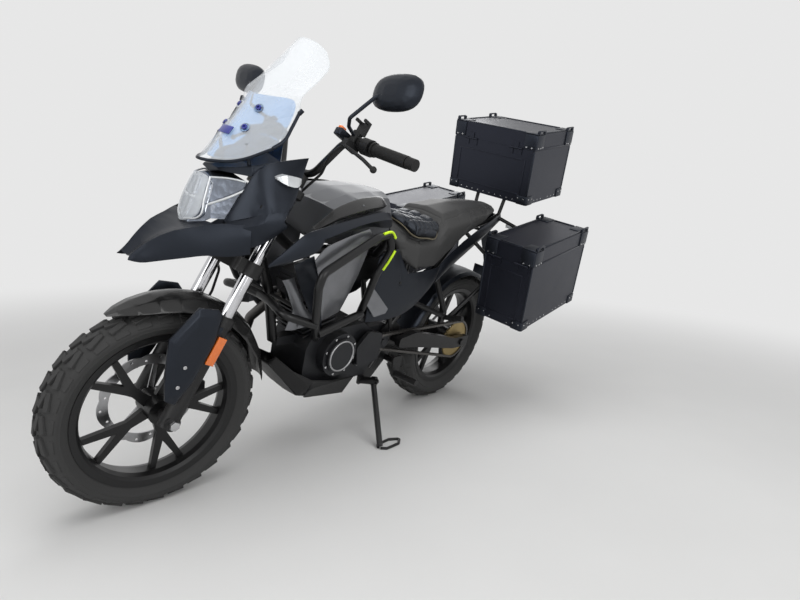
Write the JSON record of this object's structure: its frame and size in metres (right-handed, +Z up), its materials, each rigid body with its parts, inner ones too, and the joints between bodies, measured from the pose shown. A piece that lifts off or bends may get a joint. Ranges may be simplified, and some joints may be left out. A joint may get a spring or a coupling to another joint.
{
  "type": "adventure motorcycle with three luggage cases",
  "caption": "Black adventure motorcycle with beak, tall screen, crash bars, quilted seat pad and metal luggage cases, leaning on its side stand.",
  "frame": {"origin": "on the ground under the middle of the parked machine's bounding box", "axes": "+X forward, +Y to the rider's left, +Z up; the machine leans left on its side stand"},
  "size_m": [2.0728, 0.9935, 1.3273],
  "materials": {
    "black_plastic": "satin black moulded bodywork",
    "rubber_black": "moulded rubber",
    "chain_steel": "oiled steel",
    "black_metal": "black powder coat",
    "engine_metal": "dark grey cast engine cases",
    "exhaust_steel": "dark heat-stained steel",
    "fork_black": "black painted castings",
    "fork_chrome": "hard chrome",
    "disc_steel": "ground steel",
    "gloss_black": "gloss black moulded panel",
    "wheel_black": "black cast wheels",
    "tyre_rubber": "tyre rubber",
    "tank_grey": "dark metallic grey paint",
    "silver_panel": "gunmetal silver paint",
    "lamp": "faceted lamp behind a clear lens",
    "case_black": "black coated aluminium sheet",
    "sprocket_brass": "gold finished steel",
    "seat_vinyl": "black vinyl seat cover",
    "pad_fabric": "quilted black cushion",
    "clear_screen": "clear moulded acrylic"
  },
  "bodies": {
    "chassis": {"air_box": "black_plastic", "beak": "black_plastic", "chain": "chain_steel", "crash_bars": "black_metal", "dashboard": "black_plastic", "engine": "engine_metal", "exhaust": "exhaust_steel", "foot_pegs": "black_metal", "fuel_tank": "tank_grey", "grey_panels": "silver_panel", "headlight": "lamp", "indicators": "black_plastic", "knee_panels": "gloss_black", "left_case": "case_black", "luggage_rack": "black_metal", "main_frame": "black_metal", "nose_fairing": "black_plastic", "rear_hugger": "black_plastic", "rear_shock": "black_metal", "right_case": "case_black", "seat": "seat_vinyl", "seat_pad": "pad_fabric", "side_covers": "black_plastic", "silver_panels": "silver_panel", "skid_plate": "black_plastic", "swingarm": "black_metal", "tail_fairing": "black_plastic", "tank_shrouds": "black_plastic", "top_case": "case_black", "windshield": "clear_screen"},
    "fork": {"fork_clamps": "fork_black", "fork_tubes": "fork_chrome", "fork_sliders": "fork_black", "handlebar": "black_metal", "grips": "rubber_black", "bar_controls": "black_plastic", "mirrors": "black_plastic", "front_fender": "gloss_black", "fork_guards": "black_plastic", "front_caliper": "fork_black", "brake_hose": "rubber_black", "clutch_cable": "rubber_black", "phone_holder": "black_plastic"},
    "front_wheel": {"front_tyre": "tyre_rubber", "front_rim": "wheel_black", "front_disc": "disc_steel"},
    "rear_wheel": {"rear_tyre": "tyre_rubber", "rear_rim": "wheel_black", "rear_disc": "disc_steel", "rear_sprocket": "sprocket_brass"},
    "stand": {"side_stand": "black_metal"},
    "top_cover": {"top_lid": "case_black"},
    "left_cover": {"left_lid": "case_black"},
    "right_cover": {"right_lid": "case_black"}
  },
  "joints": [
    {"name": "steering", "type": "hinge", "parent": "chassis", "child": "fork", "pos_m": [0.46442, -0.015, 0.76571], "axis": [-0.4305, 0.1895, 0.8825], "range_deg": [-30, 42]},
    {"name": "front_wheel_spin", "type": "hinge", "parent": "fork", "child": "front_wheel", "pos_m": [0.7418, -0.12164, 0.28926], "axis": [0.0947, 0.9818, -0.1647], "continuous": true},
    {"name": "rear_wheel_spin", "type": "hinge", "parent": "chassis", "child": "rear_wheel", "pos_m": [-0.616, -0.11307, 0.309], "axis": [0, 0.9777, -0.21], "continuous": true},
    {"name": "side_stand_fold", "type": "hinge", "parent": "chassis", "child": "stand", "pos_m": [-0.064, -0.01995, 0.20922], "axis": [-0.3389, 0.9388, 0.0622], "range_deg": [0, 108]},
    {"name": "top_lid_hinge", "type": "hinge", "parent": "chassis", "child": "top_cover", "pos_m": [-0.67716, 0.06965, 1.15987], "axis": [0, 0.9777, -0.21], "range_deg": [0, 95]},
    {"name": "left_lid_hinge", "type": "hinge", "parent": "chassis", "child": "left_cover", "pos_m": [-0.46125, 0.29942, 0.68476], "axis": [0, 0.9777, -0.21], "range_deg": [0, 95]},
    {"name": "right_lid_hinge", "type": "hinge", "parent": "chassis", "child": "right_cover", "pos_m": [-0.46125, -0.33492, 0.82099], "axis": [0, 0.9777, -0.21], "range_deg": [0, 95]}
  ]
}
